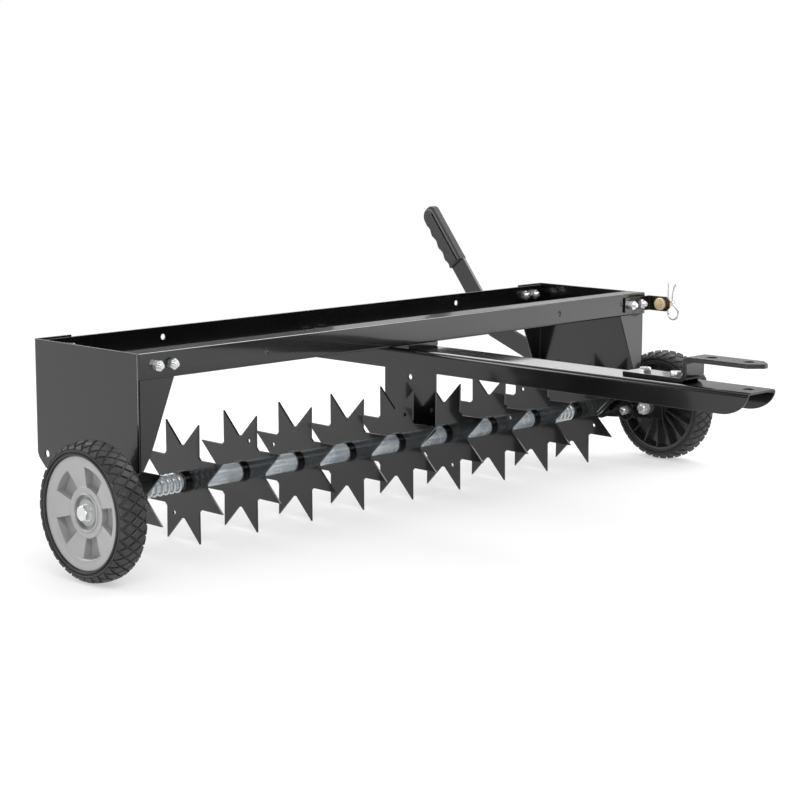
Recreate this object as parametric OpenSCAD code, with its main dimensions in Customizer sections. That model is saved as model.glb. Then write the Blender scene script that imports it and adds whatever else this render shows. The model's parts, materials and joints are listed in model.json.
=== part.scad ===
// Tow behind spike aerator with lift-up transport wheels, in millimetres, +Z up.
// X runs across the machine, the hitch points to -Y, and the floor is z = 0.

/* [Tray] */
// Depth of the weight tray, front to back
tray_d = 215.4; // [200:0.2:240]
// Height of the tray's rim above the shaft
tray_rise = 195.4; // [185:0.2:215]
// Height of the front and rear rails
rail_h = 33.6; // [30:0.2:40]
// Sheet thickness of rails and end plates
sheet = 2.5; // [2:0.1:3]
// Width of the end plates' bent flanges at the top
flange_w = 55; // [48:1:60]
// Depth of the rails' horizontal flanges
rail_lip = 33; // [28:1:36]
// Distance of the spare rail holes from the middle
spare_x = 297; // [270:1:320]

/* [Tine wheels] */
// Radius of a tine wheel over its points
star_r = 87.2; // [84:0.1:92]
// Radius of the notches between the points
star_root = 47; // [42:0.5:52]
// Thickness of a tine wheel
star_t = 3; // [2.5:0.1:4]
// Spacing of the tine wheels
star_pitch = 101.6; // [98:0.2:104]
// Radius of the tine shaft
shaft_r = 10; // [9:0.1:11]
// Distance of the shaft ahead of the tray's middle
shaft_lead = 5.9; // [2:0.1:8]
// Outer radius of the spacer tubes
spacer_r = 13; // [12.6:0.1:14]
// Running gap between shaft and bores
run_gap = 0.05; // [0.03:0.01:0.08]
// Wire radius of the tine springs
wire_r = 1.6; // [1.3:0.1:1.8]
// Curls of each tine spring
spring_curls = 9; // [7:1:12]

/* [Wheels] */
// Radius of a transport wheel
wheel_r = 88; // [84:0.5:92]
// Width of a transport wheel
wheel_w = 42; // [38:0.5:45]
// Gap between an end plate and a wheel's inner face
wheel_gap = 47.4; // [45:0.2:52]
// Distance of the wheel axle behind the tray's front face
axle_y = 8.6; // [2:0.1:14]
// Radius of the wheel rim's grey face
rim_r = 71.5; // [69:0.5:73]
// Spokes of the wheel cover
spoke_n = 5; // [4:1:6]

/* [Lift lever] */
// Width of the lever bar
lever_w = 31.5; // [28:0.5:34]
// Thickness of lever and arms
bar_t = 6; // [5:0.5:6.5]
// Slope of the lever's lower leg, degrees
leg_a = 20.65; // [19:0.05:23]
// Length of the lever's lower leg
leg_len = 306.8; // [290:0.2:320]
// Slope of the lever's upper leg, degrees
grip_a = 51.8; // [48:0.1:56]
// Length of the bare upper leg
neck_len = 134.4; // [120:0.2:150]
// Length of the grip
grip_len = 114; // [108:1:125]
// Thickness of the grip
grip_t = 22; // [20:1:24]

/* [Hitch] */
// Width of the drawbar
bar_w = 60; // [56:1:66]
// Height of the drawbar
bar_h = 29.7; // [26:0.1:34]
// Sheet thickness of the drawbar
bar_sheet = 3; // [2.5:0.1:4]
// Distance of the drawbar's nose ahead of the tray
nose_y = 568; // [540:1:600]
// Radius of the hitch holes
hitch_r = 7; // [6:0.5:8]
// Width of the hitch strap
strap_w = 38; // [36:1:44]
// Thickness of the hitch strap
strap_t = 6; // [5:0.5:8]
// Clear height between drawbar and strap
hitch_gap = 27.7; // [25:0.1:32]

/* [Lock pin] */
// Radius of the lock pin
pin_r = 6.3; // [5.5:0.1:6.5]
// Wire radius of the hairpin clip
clip_r = 1.5; // [1.2:0.1:1.6]

/* [Hidden] */
shaft_z = star_r * cos(22.5);
top_z = shaft_z + tray_rise;
tray_w = 10 * star_pitch;
hw = tray_w / 2;
shaft_y = tray_d / 2 - shaft_lead;
wheel_in = hw + wheel_gap;
rail_z = top_z - rail_h;
bolt_z = rail_z + rail_h / 2 + 0.1;
front_bolts = [-hw + 28, -hw + 52, hw - 39.5, hw - 15.5];
rear_bolts = [-hw + 28, -hw + 52, hw - 49, hw - 25];
hang_d = tray_d / 2 - 56;
pad_h = 5.8;
bar_z = rail_z - pad_h;
strap_z = bar_z + strap_t;
strap_top = bar_z + hitch_gap + strap_t;
hole_y = -nose_y + 20;
strap_tip = hole_y - 25;
strap_web = hole_y + 80;
strap_back = strap_web + 100;
hanger_x = 80;
plate_x = hw - sheet;
arm_x0 = hw + 19;
arm_x1 = arm_x0 + bar_t;
lev_x0 = arm_x0 - bar_t;
wheel_out = wheel_in + wheel_w;
axle_z = wheel_r;
axle_r = 6;
pin_y = -26;
pin_z = bolt_z;
tab_x1 = hw + 10.8;
tab_x0 = tab_x1 - 3;
clip_x = tab_x1 + 16;
foot = [shaft_y - 57.4, shaft_z + 0.24];
bend = [foot[0] + leg_len * cos(leg_a), foot[1] + leg_len * sin(leg_a)];
gu = [cos(grip_a), sin(grip_a)];
gv = [sin(grip_a), -cos(grip_a)];
grip0 = [bend[0] + neck_len * gu[0], bend[1] + neck_len * gu[1]];
bolt2 = [foot[0] + 38 * cos(leg_a), foot[1] + 38 * sin(leg_a)];
gh = lever_w / 2 + 0.6;
rear_pts = [for (i = [0 : 26]) [10 + (grip_len - 34) * i / 26, gh + 3.4 + 1.7 * cos(360 * (10 + (grip_len - 34) * i / 26 - 19.6) / 31.5)]];
tip_b = [grip_len - 12.5, gh - 12.3];
gf = 2 - gh;
tip_a = [grip_len - 9.4, gf + 9.4];
tip_pts = concat([for (a = [80 : -10 : 10]) [tip_b[0] + 12.5 * cos(a), tip_b[1] + 12.5 * sin(a)]],
    [for (a = [-10 : -10 : -90]) [tip_a[0] + 9.4 * cos(a), tip_a[1] + 9.4 * sin(a)]]);
grip_pts = concat([[0, gf], [0, gh], [5, gh + 1.2]], rear_pts, [[tip_b[0] - 3, gh + 0.4]], tip_pts);
grip_yz = [for (p = grip_pts) [grip0[0] + p[0] * gu[0] + p[1] * gv[0], grip0[1] + p[0] * gu[1] + p[1] * gv[1]]];
y_front = strap_tip;
y_back = max([for (p = grip_yz) p[0]]);
y_mid = (y_front + y_back) / 2;
star_a = [67.5, -67.5, 112.5, 22.5, -22.5, 112.5, -112.5, 157.5, 67.5, 202.5];
$fn = 64;

module alongx(x0, x1) {
    translate([x0, 0, 0])
        rotate([90, 0, 90])
            linear_extrude(height = x1 - x0)
                children();
}

module alongy(y0, y1) {
    translate([0, y1, 0])
        rotate([90, 0, 0])
            linear_extrude(height = y1 - y0)
                children();
}

module alongz(z0, z1) {
    translate([0, 0, z0])
        linear_extrude(height = z1 - z0)
            children();
}

module rodx(r, x0, x1, y, z) {
    translate([x0, y, z])
        rotate([0, 90, 0])
            cylinder(r = r, h = x1 - x0);
}

module rody(r, y0, y1, x, z) {
    translate([x, y1, z])
        rotate([90, 0, 0])
            cylinder(r = r, h = y1 - y0);
}

module hexy(af, y0, y1, x, z) {
    translate([x, y1, z])
        rotate([90, 0, 0])
            cylinder(r = af / 2 / cos(30), h = y1 - y0, $fn = 6);
}

module hexx(af, x0, x1, y, z) {
    translate([x0, y, z])
        rotate([0, 90, 0])
            cylinder(r = af / 2 / cos(30), h = x1 - x0, $fn = 6);
}

module hexz(af, z0, z1, x, y) {
    translate([x, y, z0])
        cylinder(r = af / 2 / cos(30), h = z1 - z0, $fn = 6);
}

module placed() {
    translate([0, -y_mid, 0])
        children();
}

module rail_holes(y0, y1, spots) {
    for (x = spots)
        rody(4.2, y0 - 1, y1 + 1, x, bolt_z);
    for (x = [-spare_x, spare_x])
        rody(4, y0 - 1, y1 + 1, x, bolt_z);
}

module front_rail() {
    color([0.05, 0.05, 0.055])
        placed()
            difference() {
                union() {
                    alongx(-hw, hw)
                        translate([0, rail_z])
                            square([sheet, rail_h]);
                    alongx(-plate_x, plate_x)
                        translate([0, top_z - sheet])
                            square([rail_lip, sheet]);
                    alongx(-plate_x, plate_x)
                        polygon([[0, rail_z], [rail_lip, rail_z], [rail_lip, rail_z + sheet], [0, rail_z + sheet]]);
                }
                rail_holes(0, sheet, front_bolts);
                for (x = [-15, 15])
                    translate([x, 18, rail_z - 1])
                        cylinder(r = 4.2, h = sheet + 2);
                for (s = [-1, 1])
                    translate([s * (hw - 24), 0, 0])
                        alongy(sheet, rail_lip + 1)
                            translate([-35, rail_z - 1])
                                square([70, sheet + 1]);
            }
}

module rear_rail() {
    ry = tray_d - 2 * sheet;
    color([0.05, 0.05, 0.055])
        placed()
            difference() {
                union() {
                    alongx(-plate_x, plate_x)
                        translate([ry, rail_z])
                            square([sheet, rail_h - sheet]);
                    alongx(-plate_x + 60, plate_x - 60)
                        translate([ry + sheet - rail_lip, rail_z])
                            square([rail_lip, sheet]);
                }
                rail_holes(ry, ry + sheet, rear_bolts);
                for (x = [-15, 15])
                    translate([x, tray_d - 20, rail_z - 1])
                        cylinder(r = 4.2, h = sheet + 2);
            }
}

sunk_r = 8.4;
bolt_y = [18, tray_d - 20];

module tray_floor() {
    color([0.05, 0.05, 0.055])
        placed()
            difference() {
                translate([-plate_x, 2 * sheet + 0.2, rail_z + sheet])
                    cube([2 * plate_x, tray_d - 4 * sheet - 0.4, sheet]);
                for (y = bolt_y, x = [-15, 15])
                    translate([x, y, rail_z])
                        cylinder(r = sunk_r + 0.3, h = 3 * sheet);
            }
}

boss_r = 17;
plate_pts = [[sheet, top_z], [tray_d, top_z], [tray_d, shaft_z + 47], [tray_d - 4.4, shaft_z + 38.6],
    [tray_d - 17, shaft_z + 27.2], [shaft_y + 9, shaft_z - boss_r + 2.6], [shaft_y - 9, shaft_z - boss_r + 2.6],
    [shaft_y - 42, shaft_z + 14], [sheet, shaft_z + 45.6]];

module flange_shape(z1) {
    polygon([[-plate_x, z1], [-hw + flange_w + 3, z1], [-hw + flange_w + 3, top_z - 34.6],
        [-hw + 37, top_z - 86.5], [-hw + 27, top_z - 110.6], [-hw + 18, top_z - 131],
        [-hw + 7, shaft_z + 47], [-plate_x, shaft_z + 47]]);
}

module end_plate(s) {
    translate([0, 0, 0])
        difference() {
            union() {
                alongx(s < 0 ? -hw : plate_x, s < 0 ? -plate_x : hw)
                    difference() {
                        union() {
                            polygon(plate_pts);
                            translate([shaft_y, shaft_z])
                                circle(r = boss_r);
                        }
                        translate([shaft_y, shaft_z])
                            circle(r = shaft_r + 3);
                        translate([tray_d - 21.5, shaft_z + 45.9])
                            circle(r = 4.5);
                    }
                alongy(sheet, 2 * sheet)
                    scale([-s, 1])
                        flange_shape(top_z - sheet);
                alongy(tray_d - sheet, tray_d)
                    scale([-s, 1])
                        flange_shape(top_z);
            }
            for (x = front_bolts)
                rody(4.2, -1, shaft_y, x, bolt_z);
            for (x = rear_bolts)
                rody(4.2, shaft_y, tray_d + 1, x, bolt_z);
        }
}

module left_end_plate() {
    color([0.05, 0.05, 0.055])
        placed()
            end_plate(-1);
}

module right_end_plate() {
    color([0.05, 0.05, 0.055])
        placed()
            end_plate(1);
}

nose_pts = concat([[tray_d - 2.5, bar_z], [-nose_y, bar_z]],
    [for (i = [1 : 11]) [-nose_y + 41 - 41 * cos(i * 90 / 12), bar_z - bar_h * sin(i * 90 / 12)]],
    [[-nose_y + 41, bar_z - bar_h], [tray_d - 2.5, bar_z - bar_h]]);

module bar_section(w, h, r) {
    translate([-w / 2, bar_z - bar_h - 1])
        square([w, bar_h + 1 - h - r]);
    translate([-w / 2 + r, bar_z - bar_h - 1])
        square([w - 2 * r, bar_h + 1 - h]);
    for (s = [-1, 1])
        translate([s * (w / 2 - r), bar_z - h - r])
            circle(r = r);
}

module drawbar() {
    color([0.05, 0.05, 0.055])
        placed()
            difference() {
                intersection() {
                    alongy(-nose_y - 1, tray_d)
                        difference() {
                            bar_section(bar_w, 0, 6.5);
                            translate([0, -1])
                                bar_section(bar_w - 2 * bar_sheet, bar_sheet - 1, 3.5);
                        }
                    alongx(-bar_w, bar_w)
                        polygon(nose_pts);
                }
                translate([0, hole_y, bar_z - 10])
                    cylinder(r = hitch_r, h = 20);
                for (y = [strap_back - 22, strap_back - 70])
                    translate([0, y, bar_z - 10])
                        cylinder(r = 4.2, h = 20);
                for (y = bolt_y, x = [-15, 15])
                    translate([x, y, bar_z - 10])
                        cylinder(r = 4.2, h = 20);
                for (y = [shaft_y - 30, shaft_y + 30])
                    translate([0, y, bar_z - 10])
                        cylinder(r = 4.2, h = 20);
            }
}

module drawbar_pads() {
    color([0.05, 0.05, 0.055])
        placed()
            for (y = [0, tray_d - sheet - rail_lip])
                difference() {
                    translate([-bar_w / 2, y, bar_z])
                        cube([bar_w, rail_lip, pad_h]);
                    for (x = [-15, 15])
                        translate([x, y == 0 ? 18 : tray_d - 20, bar_z - 1])
                            cylinder(r = 4.2, h = pad_h + 2);
                }
}

module centre_hanger() {
    color([0.05, 0.05, 0.055])
        placed()
            difference() {
                union() {
                    alongx(hanger_x - 1.5, hanger_x + 1.5) {
                        polygon([[shaft_y - hang_d, bar_z], [shaft_y - hang_d, shaft_z + 2 * shaft_r], [shaft_y - 15, shaft_z - 12],
                            [shaft_y + 15, shaft_z - 12], [shaft_y + hang_d, shaft_z + 2 * shaft_r], [shaft_y + hang_d, bar_z]]);
                        translate([shaft_y, shaft_z])
                            circle(r = 19);
                    }
                    translate([-24, shaft_y - hang_d, bar_z])
                        cube([hanger_x + 25.5, 2 * hang_d, 3]);
                }
                rodx(shaft_r + 3, hanger_x - 3, hanger_x + 3, shaft_y, shaft_z);
                rodx(4, hanger_x - 3, hanger_x + 3, shaft_y, bar_z - 61);
                for (y = [shaft_y - 30, shaft_y + 30])
                    translate([0, y, bar_z - 1])
                        cylinder(r = 4.2, h = 6);
            }
}

module hanger_bolts() {
    color([0.7, 0.72, 0.74])
        placed()
            for (y = [shaft_y - 30, shaft_y + 30]) {
                hexz(13, bar_z + 3, bar_z + 8, 0, y);
                translate([0, y, bar_z - 13])
                    cylinder(r = 4, h = 17);
            }
}

module hanger_nuts() {
    color([0.7, 0.72, 0.74])
        placed()
            for (y = [shaft_y - 30, shaft_y + 30])
                difference() {
                    hexz(13, bar_z - bar_sheet - 6.5, bar_z - bar_sheet, 0, y);
                    translate([0, y, bar_z - 14])
                        cylinder(r = 4, h = 17);
                }
}

strap_pts = [[strap_back, strap_z - strap_t], [strap_back, strap_z], [strap_web + strap_t + 6, strap_z],
    [strap_web + strap_t + 2, strap_z + 1.6], [strap_web + strap_t, strap_z + 6],
    [strap_web + strap_t, strap_top - strap_t], [strap_web + strap_t - 1, strap_top - 3.5],
    [strap_web + 3, strap_top - 1], [strap_web - 1, strap_top], [strap_tip, strap_top],
    [strap_tip, strap_top - strap_t], [strap_web - 3, strap_top - strap_t], [strap_web - 0.8, strap_top - strap_t - 0.8],
    [strap_web, strap_top - strap_t - 3], [strap_web, strap_z + 4], [strap_web + 1.6, strap_z - strap_t + 5],
    [strap_web + 5, strap_z - strap_t + 1.4], [strap_web + 10, strap_z - strap_t]];

module hitch_strap() {
    color([0.05, 0.05, 0.055])
        placed()
            difference() {
                alongx(-strap_w / 2, strap_w / 2)
                    polygon(strap_pts);
                for (s = [-1, 1])
                    translate([s * strap_w / 2, strap_tip, strap_z])
                        rotate([0, 0, 45])
                            translate([-11, -11, 0])
                                cube([22, 22, 60]);
                translate([0, hole_y, strap_z])
                    cylinder(r = hitch_r, h = 60);
                translate([0, hole_y + 55, strap_z])
                    cylinder(r = hitch_r, h = 60);
                for (y = [strap_back - 22, strap_back - 70])
                    translate([0, y, bar_z - 1])
                        cylinder(r = 4.2, h = 10);
            }
}

module hitch_bolts() {
    color([0.7, 0.72, 0.74])
        placed()
            for (y = [strap_back - 22, strap_back - 70]) {
                translate([0, y, bar_z - 15])
                    cylinder(r = 4, h = 16 + strap_t);
                hexz(13, strap_z, strap_z + 5.3, 0, y);
            }
}

module hitch_nuts() {
    color([0.7, 0.72, 0.74])
        placed()
            for (y = [strap_back - 22, strap_back - 70])
                difference() {
                    hexz(13, bar_z - bar_sheet - 6.5, bar_z - bar_sheet, 0, y);
                    translate([0, y, bar_z - 15])
                        cylinder(r = 4, h = 16);
                }
}

module pin_bracket() {
    color([0.05, 0.05, 0.055])
        placed()
            difference() {
                union() {
                    alongy(-3, 0)
                        translate([hw - 53.4, bolt_z - 11.5])
                            square([53.4 + 10.8, 23]);
                    alongx(tab_x0, tab_x1)
                        polygon([[0, bolt_z - 11.5], [0, bolt_z + 11.5], [-36, bolt_z + 11.5], [-42, bolt_z + 5.5],
                            [-42, bolt_z - 5.5], [-36, bolt_z - 11.5]]);
                }
                rodx(pin_r + run_gap, tab_x0 - 1, tab_x1 + 1, pin_y, pin_z);
                for (x = [front_bolts[2], front_bolts[3]])
                    rody(4.2, -4, 1, x, bolt_z);
            }
}

module front_rail_bolts() {
    color([0.7, 0.72, 0.74])
        placed() {
            for (x = front_bolts) {
                hexy(13, 2 * sheet, 2 * sheet + 5.3, x, bolt_z);
                rody(4, x < 0 ? -9 : -12, 2 * sheet + 1, x, bolt_z);
            }
        }
}

module nuty(y0, x, z) {
    difference() {
        hexy(13, y0, y0 + 6.5, x, z);
        rody(4, y0 - 1, y0 + 8, x, z);
    }
}

module front_rail_nuts() {
    color([0.7, 0.72, 0.74])
        placed()
            for (x = front_bolts)
                nuty(x < 0 ? -6.5 : -9.5, x, bolt_z);
}

module rear_rail_bolts() {
    color([0.7, 0.72, 0.74])
        placed()
            for (x = rear_bolts) {
                hexy(13, tray_d, tray_d + 5.3, x, bolt_z);
                rody(4, tray_d - 2 * sheet - 9, tray_d + 1, x, bolt_z);
            }
}

module rear_rail_nuts() {
    color([0.7, 0.72, 0.74])
        placed()
            for (x = rear_bolts)
                nuty(tray_d - 2 * sheet - 6.5, x, bolt_z);
}

module drawbar_bolts() {
    color([0.7, 0.72, 0.74])
        placed()
            for (y = bolt_y, x = [-15, 15]) {
                translate([x, y, rail_z + sheet])
                    cylinder(r1 = sunk_r, r2 = sunk_r - 0.8, h = sheet - 0.1);
                translate([x, y, bar_z - 12])
                    cylinder(r = 4, h = 12 + pad_h + sheet + 1);
            }
}

module drawbar_nuts() {
    color([0.7, 0.72, 0.74])
        placed()
            for (y = bolt_y, x = [-15, 15])
                difference() {
                    hexz(13, bar_z - bar_sheet - 6.5, bar_z - bar_sheet, x, y);
                    translate([x, y, bar_z - 14])
                        cylinder(r = 4, h = 16);
                }
}

module bushing(x0, x1, f0, f1) {
    difference() {
        union() {
            rodx(shaft_r + 3, x0, x1, shaft_y, shaft_z);
            rodx(shaft_r + 5.5, f0, f1, shaft_y, shaft_z);
        }
        rodx(shaft_r + run_gap, x0 - 5, x1 + 5, shaft_y, shaft_z);
    }
}

module left_bushing() {
    color([0.55, 0.45, 0.3])
        placed()
            bushing(-hw - 3, -plate_x + 3, -hw - 3, -hw);
}

module right_bushing() {
    color([0.55, 0.45, 0.3])
        placed()
            bushing(plate_x - 3, hw + 3, hw, hw + 3);
}

module hanger_bushing() {
    color([0.55, 0.45, 0.3])
        placed()
            bushing(hanger_x - 7, hanger_x + 7, hanger_x + 1.5, hanger_x + 7);
}

module tine_shaft() {
    color([0.6, 0.62, 0.65])
        placed()
            rodx(shaft_r, -arm_x1 - 11, arm_x1 + 11, shaft_y, shaft_z);
}

module shaft_end_nuts() {
    color([0.7, 0.72, 0.74])
        placed()
            for (s = [-1, 1])
                difference() {
                    hexx(2.7 * shaft_r, s > 0 ? arm_x1 : -arm_x1 - 8, s > 0 ? arm_x1 + 8 : -arm_x1, shaft_y, shaft_z);
                    rodx(shaft_r, -arm_x1 - 20, arm_x1 + 20, shaft_y, shaft_z);
                }
}

module tube(x0, x1) {
    difference() {
        rodx(spacer_r, x0, x1, shaft_y, shaft_z);
        rodx(shaft_r, x0 - 1, x1 + 1, shaft_y, shaft_z);
    }
}

function star_x(k) = (k - 4.5) * star_pitch;
collar_t = 6;
side_gap = 0.3;

module shaft_spacers() {
    color([0.6, 0.64, 0.7])
        placed() {
            tube(-arm_x0, -hw - 3 - side_gap);
            tube(hw + 3 + side_gap, lev_x0);
            tube(-plate_x + 3 + side_gap, star_x(0) - star_t / 2 - collar_t - side_gap);
            tube(star_x(9) + star_t / 2 + side_gap, plate_x - 3 - side_gap);
            for (k = [1, 2, 3, 4, 6, 7])
                tube(star_x(k) + star_t / 2 + side_gap, star_x(k + 1) - star_t / 2 - collar_t - side_gap);
            tube(star_x(5) + star_t / 2 + side_gap, hanger_x - 7 - side_gap);
            tube(hanger_x + 7 + side_gap, star_x(6) - star_t / 2 - collar_t - side_gap);
        }
}

spring_r = shaft_r + wire_r + 0.8;
spring_l = star_pitch - star_t - collar_t - 2 * side_gap - 2 * wire_r;
spring_rings = 8 * spring_curls;
function helix_at(i) = [wire_r + spring_l * i / spring_rings, spring_r * cos(45 * i), spring_r * sin(45 * i)];
spring_mid = concat([[0, spring_r, 0]],
    [for (i = [0 : spring_rings]) helix_at(i) + [0, 0, 0]], [[spring_l + 2 * wire_r, spring_r, 0]]);
turn_gap = spring_l / spring_curls - 2 * wire_r;
echo(least_self_gap = min([for (i = [0 : 2], j = [6 : 10]) norm(helix_at(i) - helix_at(i + j))]) - 2 * wire_r);

module spring_tube(x0) {
    n = spring_rings;
    step_a = atan2(spring_l / n, 2 * spring_r * sin(22.5));
    rings = concat(
        [[[0, spring_r - wire_r * 0, 0], 0, 90]],
        [for (i = [0 : n]) [helix_at(i), 45 * i, step_a]],
        [[[spring_l + 2 * wire_r, spring_r, 0], 360 * spring_curls, 90]]);
    pts = [for (r = rings, j = [0 : 5])
        let (a = r[1], e = r[2], q = 60 * j,
            rad = [0, cos(a), sin(a)],
            tan = [sin(e), -sin(a) * cos(e), cos(a) * cos(e)],
            up = cross(tan, rad))
        [x0, shaft_y, shaft_z] + r[0] + wire_r * cos(q) * rad + wire_r * sin(q) * up];
    m = len(rings);
    faces = concat([[0, 1, 2, 3, 4, 5]],
        [for (i = [0 : m - 2], j = [0 : 5]) [i * 6 + j, (i + 1) * 6 + j, (i + 1) * 6 + (j + 1) % 6]],
        [for (i = [0 : m - 2], j = [0 : 5]) [i * 6 + j, (i + 1) * 6 + (j + 1) % 6, i * 6 + (j + 1) % 6]],
        [[(m - 1) * 6 + 5, (m - 1) * 6 + 4, (m - 1) * 6 + 3, (m - 1) * 6 + 2, (m - 1) * 6 + 1, (m - 1) * 6]]);
    polyhedron(points = pts, faces = faces);
}

module left_tine_spring() {
    color([0.75, 0.77, 0.8])
        placed()
            spring_tube(star_x(0) + star_t / 2 + side_gap);
}

module right_tine_spring() {
    color([0.75, 0.77, 0.8])
        placed()
            spring_tube(star_x(8) + star_t / 2 + side_gap);
}

function star_pts(a0) = [for (i = [0 : 7], p = [0 : 2])
    let (a = a0 + 45 * i, v = a + 22.5)
    p == 0 ? [star_r * cos(a), star_r * sin(a)]
    : p == 1 ? [(star_root + 2.6) * cos(v - 3.4), (star_root + 2.6) * sin(v - 3.4)]
    : [(star_root + 2.6) * cos(v + 3.4), (star_root + 2.6) * sin(v + 3.4)]];

module tine_wheel(k) {
    color([0.05, 0.05, 0.055])
        placed()
            difference() {
                union() {
                    alongx(star_x(k) - star_t / 2, star_x(k) + star_t / 2)
                        translate([shaft_y, shaft_z])
                            difference() {
                                polygon(star_pts(star_a[k]));
                                rotate(star_a[k])
                                    translate([star_root + 1, 0])
                                        circle(r = 2.8);
                            }
                    rodx(spacer_r + 2, star_x(k) - star_t / 2 - collar_t, star_x(k), shaft_y, shaft_z);
                }
                rodx(shaft_r + run_gap, star_x(k) - 20, star_x(k) + 20, shaft_y, shaft_z);
            }
}

module tine_wheel_0() {
    tine_wheel(0);
}

module tine_wheel_1() {
    tine_wheel(1);
}

module tine_wheel_2() {
    tine_wheel(2);
}

module tine_wheel_3() {
    tine_wheel(3);
}

module tine_wheel_4() {
    tine_wheel(4);
}

module tine_wheel_5() {
    tine_wheel(5);
}

module tine_wheel_6() {
    tine_wheel(6);
}

module tine_wheel_7() {
    tine_wheel(7);
}

module tine_wheel_8() {
    tine_wheel(8);
}

module tine_wheel_9() {
    tine_wheel(9);
}

arm_w = 34;
arm_a = atan2(axle_z - shaft_z, axle_y - shaft_y);
arm_l = norm([axle_z - shaft_z, axle_y - shaft_y]);

module arm_shape() {
    difference() {
        translate([shaft_y, shaft_z])
            rotate(arm_a) {
                translate([0, -arm_w / 2])
                    square([arm_l + 33, arm_w]);
                circle(r = 20);
            }
        translate([shaft_y, shaft_z])
            circle(r = shaft_r);
        translate([axle_y, axle_z])
            circle(r = axle_r + 0.2);
    }
}

module left_arm() {
    color([0.05, 0.05, 0.055])
        placed()
            alongx(-arm_x1, -arm_x0)
                arm_shape();
}

module right_arm() {
    color([0.05, 0.05, 0.055])
        placed()
            alongx(arm_x0, arm_x1)
                difference() {
                    arm_shape();
                    translate(foot)
                        circle(r = 4.2);
                    translate(bolt2)
                        circle(r = 4.2);
                }
}

module lift_lever() {
    color([0.05, 0.05, 0.055])
        placed()
            alongx(lev_x0, arm_x0)
                difference() {
                    union() {
                        translate(foot)
                            circle(r = lever_w / 2);
                        translate(foot)
                            rotate(leg_a)
                                translate([0, -lever_w / 2])
                                    square([leg_len, lever_w]);
                        translate(bend)
                            circle(r = lever_w / 2);
                        translate(bend)
                            rotate(grip_a)
                                translate([0, -lever_w / 2])
                                    square([neck_len, lever_w]);
                        translate(bend)
                            rotate(grip_a)
                                translate([0, -lever_w / 2 + 3])
                                    square([neck_len + grip_len - 18, lever_w - 6]);
                    }
                    translate([shaft_y, shaft_z])
                        circle(r = shaft_r);
                    translate(foot)
                        circle(r = 4.2);
                    translate(bolt2)
                        circle(r = 4.2);
                }
}

module lever_grip() {
    mx = (lev_x0 + arm_x0) / 2;
    color([0.09, 0.09, 0.095])
        placed()
            difference() {
                union() {
                    alongx(mx - grip_t / 2, mx + grip_t / 2)
                        polygon(grip_yz);
                    alongx(mx - grip_t / 2 - 0.9, mx + grip_t / 2 + 0.9)
                        translate(grip0)
                            rotate(grip_a)
                                polygon([[0, gh - 8], [0, gh], [grip_len - 12, gh], [grip_len - 7, gh - 4], [grip_len - 7, gh - 8]]);
                }
                alongx(lev_x0, arm_x0)
                    translate(grip0)
                        rotate(grip_a)
                            translate([-1, -lever_w / 2 + 3])
                                square([grip_len - 17, lever_w - 6]);
            }
}

module lever_bolts() {
    color([0.7, 0.72, 0.74])
        placed()
            for (p = [foot, bolt2]) {
                rodx(4, lev_x0 - 8.5, arm_x1 + 1, p[0], p[1]);
                hexx(13, arm_x1, arm_x1 + 5.3, p[0], p[1]);
                hexx(13, lev_x0 - 6.5, lev_x0, p[0], p[1]);
            }
}

module axle_bolt(s) {
    rodx(axle_r, s > 0 ? arm_x0 - 12 : -wheel_in - 32, s > 0 ? wheel_in + 32 : -arm_x0 + 12, axle_y, axle_z);
    hexx(18, s > 0 ? wheel_in + 31 : -wheel_in - 38.5, s > 0 ? wheel_in + 38.5 : -wheel_in - 31, axle_y, axle_z);
    rodx(11, s > 0 ? wheel_in + 29.5 : -wheel_in - 31, s > 0 ? wheel_in + 31 : -wheel_in - 29.5, axle_y, axle_z);
}

module left_axle_bolt() {
    color([0.75, 0.77, 0.8])
        placed()
            axle_bolt(-1);
}

module right_axle_bolt() {
    color([0.75, 0.77, 0.8])
        placed()
            axle_bolt(1);
}

module axle_nut(s) {
    difference() {
        hexx(18, s > 0 ? arm_x0 - 10 : -arm_x0, s > 0 ? arm_x0 : -arm_x0 + 10, axle_y, axle_z);
        rodx(axle_r, s > 0 ? arm_x0 - 20 : -arm_x0 - 5, s > 0 ? arm_x0 + 5 : -arm_x0 + 20, axle_y, axle_z);
    }
}

module left_axle_nut() {
    color([0.75, 0.77, 0.8])
        placed()
            axle_nut(-1);
}

module right_axle_nut() {
    color([0.75, 0.77, 0.8])
        placed()
            axle_nut(1);
}

module axle_spacer(s) {
    x0 = s > 0 ? arm_x1 : -wheel_in + side_gap;
    x1 = s > 0 ? wheel_in - side_gap : -arm_x1;
    difference() {
        rodx(axle_r + 3, x0, x1, axle_y, axle_z);
        rodx(axle_r, x0 - 1, x1 + 1, axle_y, axle_z);
    }
}

module left_axle_spacer() {
    color([0.7, 0.72, 0.74])
        placed()
            axle_spacer(-1);
}

module right_axle_spacer() {
    color([0.7, 0.72, 0.74])
        placed()
            axle_spacer(1);
}

module at_wheel(s) {
    placed()
        translate([0, axle_y, axle_z])
            rotate([0, 0, s > 0 ? 0 : 180])
                translate([wheel_in, 0, 0])
                    children();
}

module ring_x(r0, r1, x0, x1) {
    rotate([90, 0, 90])
        translate([0, 0, x0])
            linear_extrude(height = x1 - x0)
                difference() {
                    circle(r = r1);
                    circle(r = r0);
                }
}

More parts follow.
